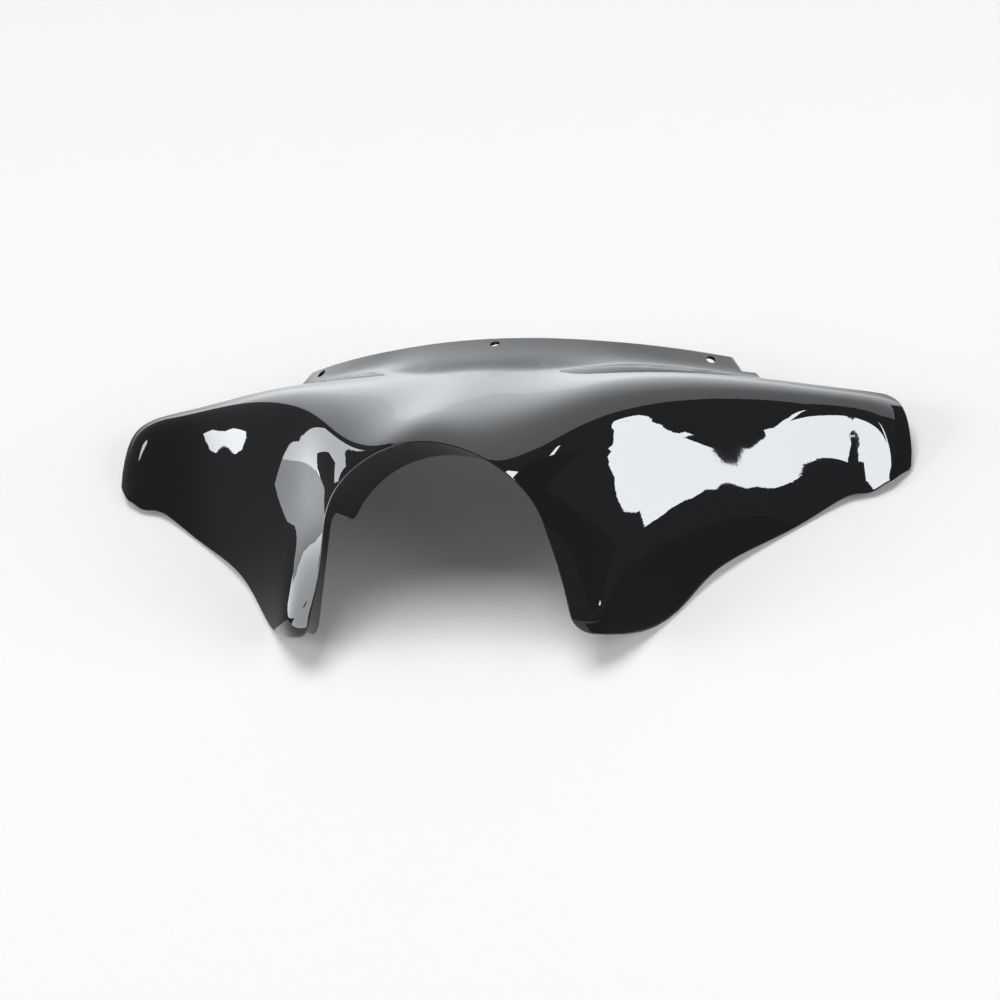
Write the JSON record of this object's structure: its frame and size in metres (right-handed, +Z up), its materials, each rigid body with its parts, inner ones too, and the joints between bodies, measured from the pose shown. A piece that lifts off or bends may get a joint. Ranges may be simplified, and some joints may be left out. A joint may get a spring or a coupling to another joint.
{
  "type": "motorcycle fairing",
  "caption": "Glossy black moulded front fairing shell with an arched lamp opening and hood lip, swept dished wings, a domed nose and a drilled windscreen flange, open and hollow behind.",
  "frame": {"origin": "On the table under the middle of the bounding box, with the fairing lying face up on its rim as in the picture.", "axes": "+X runs across the fairing from its right wing to its left wing as seen by a rider, -Y points to the lamp arch and lobes, +Y to the windscreen flange, +Z is up."},
  "size_m": [0.8018, 0.3584, 0.2044],
  "materials": {
    "shell": "high gloss black"
  },
  "bodies": {
    "root": {"fairing_shell": "shell"}
  },
  "joints": []
}
